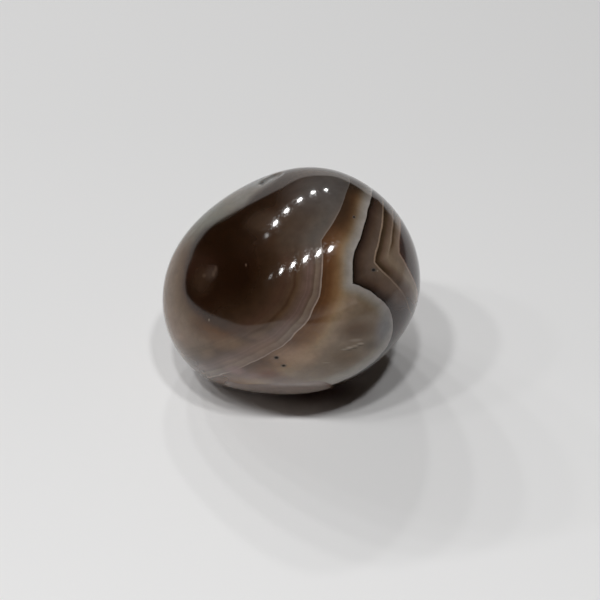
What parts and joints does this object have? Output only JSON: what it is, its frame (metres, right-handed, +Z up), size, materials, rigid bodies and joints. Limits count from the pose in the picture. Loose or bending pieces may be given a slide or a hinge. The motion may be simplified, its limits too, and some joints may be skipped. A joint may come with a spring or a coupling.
{
  "type": "botswana agate tumbled pebble",
  "caption": "Polished tumbled pebble of banded agate: a rounded stone with broad worn flats, resting on a flat on its underside.",
  "frame": {"origin": "centre of the stone's outer box, at the level of the flat that it rests on", "axes": "+X along the stone's longest level extent, +Z up, -Y towards the front, where the dark eye and the chevron bands show"},
  "size_m": [0.0258, 0.022, 0.022],
  "materials": {
    "polished_agate": "polished"
  },
  "bodies": {
    "root": {"agate_pebble": "polished_agate"}
  },
  "joints": []
}
